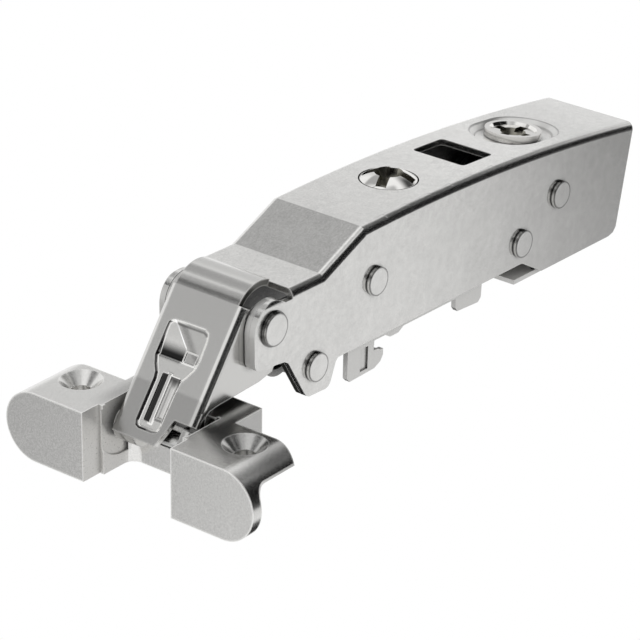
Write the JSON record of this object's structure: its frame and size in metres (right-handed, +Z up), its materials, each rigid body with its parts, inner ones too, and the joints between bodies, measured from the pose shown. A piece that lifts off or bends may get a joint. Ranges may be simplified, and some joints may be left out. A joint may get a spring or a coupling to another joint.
{
  "type": "concealed hinge",
  "caption": "Concealed soft-close hinge for narrow frame doors: arched steel arm with adjusting screws, link pair and a two-lug die-cast door bracket, open at about 92 degrees.",
  "frame": {"origin": "centre of the seat, the underside of the arm's bottom web that sits on the mounting plate", "axes": "+X runs along the arm to its rear end, Y along the hinge axis, +Z up from the seat to the arched top"},
  "size_m": [0.1223, 0.05, 0.0353],
  "materials": {
    "plated_steel": "satin nickel plate",
    "polished_steel": "polished nickel plate",
    "cast_zinc": "satin nickel plate",
    "spring_steel": "oiled",
    "damper_plastic": "matt"
  },
  "bodies": {
    "arm": {"arm_shell": "plated_steel", "inner_frame": "plated_steel", "link_rivet": "plated_steel", "lever_rivet": "plated_steel", "spring_rivet": "plated_steel", "latch_rivet": "plated_steel", "carrier_rivet": "plated_steel", "side_nut": "plated_steel", "closing_spring": "spring_steel", "damper_body": "damper_plastic", "damper_cap": "damper_plastic", "release_spring": "spring_steel"},
    "side_screw_body": {"side_screw": "polished_steel"},
    "depth_screw_body": {"depth_screw": "polished_steel", "depth_washer": "plated_steel"},
    "outer_link_body": {"outer_link": "plated_steel"},
    "bracket": {"door_bracket": "cast_zinc", "outer_pin": "polished_steel", "inner_pin": "polished_steel"},
    "inner_link_body": {"inner_link": "plated_steel"},
    "damper_rod_body": {"damper_rod": "polished_steel"},
    "release_body": {"release_lever": "plated_steel"}
  },
  "joints": [
    {"name": "outer_link_turn", "type": "hinge", "parent": "arm", "child": "outer_link_body", "pos_m": [-0.0811, 0, 0.01476], "axis": [0, 1, 0], "range_deg": [-10.1, 0.5]},
    {"name": "door_swing", "type": "hinge", "parent": "outer_link_body", "child": "bracket", "pos_m": [-0.09571, 0, -0.00131], "axis": [0, 1, 0], "range_deg": [-3.5, 101.8]},
    {"name": "inner_link_turn", "type": "hinge", "parent": "bracket", "child": "inner_link_body", "pos_m": [-0.09187, 0, 0.00227], "axis": [0, 1, 0], "range_deg": [-117, 4.2]},
    {"name": "damper_slide", "type": "slide", "parent": "arm", "child": "damper_rod_body", "axis": [1, 0, 0], "range_m": [-0.0001, 0.00255]},
    {"name": "side_screw_turn", "type": "hinge", "parent": "arm", "child": "side_screw_body", "pos_m": [-0.0401, 0, 0.02], "axis": [0, 0, 1], "range_deg": [-540, 540]},
    {"name": "depth_screw_turn", "type": "hinge", "parent": "arm", "child": "depth_screw_body", "pos_m": [-0.00497, 0, 0.02318], "axis": [0.0834, 0, 0.9965], "range_deg": [-180, 180]},
    {"name": "release_turn", "type": "hinge", "parent": "arm", "child": "release_body", "pos_m": [-0.00412, 0, 0.01393], "axis": [0, 1, 0], "range_deg": [-7, 0], "stiffness_Nm_per_rad": 0.05, "springref_deg": 1.72}
  ],
  "couplings": [
    {"joint": "outer_link_turn", "follows": "door_swing", "ratio": -0.09823},
    {"joint": "inner_link_turn", "follows": "door_swing", "ratio": -1.1474},
    {"joint": "damper_slide", "follows": "door_swing", "m_per_rad": 0.0014071}
  ]
}
